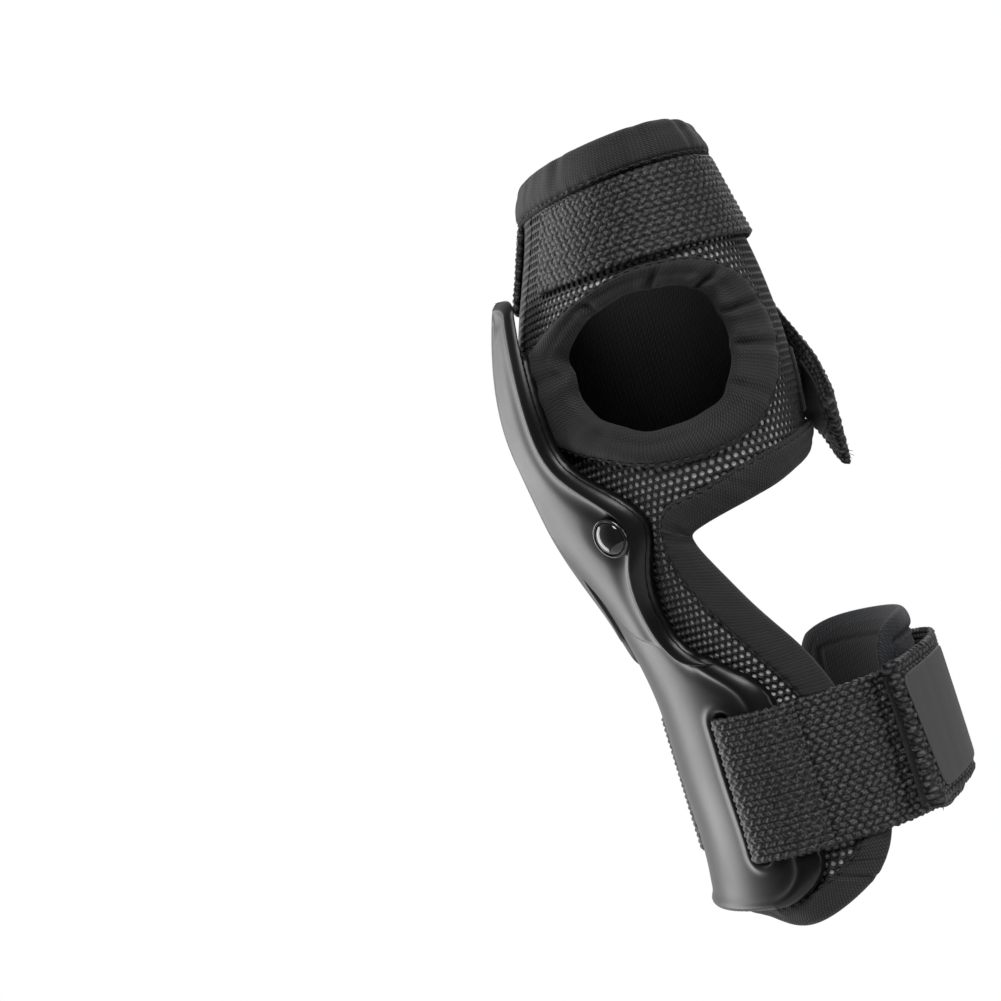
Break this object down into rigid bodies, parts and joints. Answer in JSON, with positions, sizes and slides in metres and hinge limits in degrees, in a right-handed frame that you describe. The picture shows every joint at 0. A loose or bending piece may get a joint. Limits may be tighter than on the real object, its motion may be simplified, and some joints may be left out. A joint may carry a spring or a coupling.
{
  "type": "wrist guard",
  "caption": "Right-hand wrist guard: a moulded palm splint riveted to a padded thumb-hole sleeve, with a hand strap and a webbing forearm cuff.",
  "frame": {"origin": "centre of the wrist inside the guard", "axes": "+Z towards the fingers, -X palm side, +X back of the hand, -Y thumb side, +Y little-finger side"},
  "size_m": [0.0915, 0.0994, 0.2031],
  "materials": {
    "splint_plastic": "glossy moulded black",
    "rivet_black": "polished black",
    "washer_steel": "plain",
    "mesh_fabric": "open 3-D mesh, pale foam showing through the holes",
    "foam": "soft closed-cell foam",
    "lining": "brushed knit",
    "neoprene": "knit-faced neoprene, slight sheen",
    "webbing": "coarse woven polypropylene",
    "hook_tape": "hook tape",
    "loop_tape": "fuzzy loop tape",
    "label_grey": "plain grey patch"
  },
  "bodies": {
    "guard": {"palm_splint": "splint_plastic", "palm_cap": "splint_plastic", "splint_rivets": "rivet_black", "rivet_washers": "washer_steel", "mesh_shell": "mesh_fabric", "foam_core": "foam", "comfort_lining": "lining", "top_binding": "neoprene", "thumb_hole_binding": "neoprene", "dorsal_wrist_binding": "neoprene", "radial_edge_facing": "neoprene", "ulnar_edge_facing": "neoprene", "forearm_end_binding": "neoprene", "hand_strap_radial": "webbing", "hand_strap_ulnar": "webbing", "hand_loop_patch": "loop_tape", "radial_strap_anchor": "webbing", "ulnar_strap_anchor": "webbing"},
    "hand_tab": {"hand_strap_tab": "webbing", "hand_tab_hook": "hook_tape"},
    "radial_cuff": {"radial_cuff_strap": "webbing", "cuff_loop_field": "loop_tape", "dorsal_pad": "neoprene", "dorsal_pad_liner": "lining"},
    "ulnar_cuff": {"ulnar_cuff_strap": "webbing"},
    "cuff_tab": {"cuff_tab": "webbing", "cuff_tab_hook": "hook_tape", "cuff_label_patch": "label_grey"}
  },
  "joints": [
    {"name": "hand_tab_peel", "type": "hinge", "parent": "guard", "child": "hand_tab", "pos_m": [0.0256, -0.00221, 0.04779], "axis": [0, -0.7071, 0.7071], "range_deg": [0, 100]},
    {"name": "ulnar_cuff_open", "type": "hinge", "parent": "guard", "child": "ulnar_cuff", "pos_m": [-0.0146, 0.0378, -0.0528], "axis": [0, 0, 1], "range_deg": [0, 75]},
    {"name": "radial_cuff_open", "type": "hinge", "parent": "guard", "child": "radial_cuff", "pos_m": [-0.0146, -0.0378, -0.0528], "axis": [0, 0, -1], "range_deg": [0, 23]},
    {"name": "cuff_tab_peel", "type": "hinge", "parent": "ulnar_cuff", "child": "cuff_tab", "pos_m": [0.0349, -0.01035, -0.0528], "axis": [0, 0, 1], "range_deg": [0, 100]}
  ],
  "couplings": [
    {"joint": "radial_cuff_open", "follows": "ulnar_cuff_open", "ratio": 0.3}
  ]
}
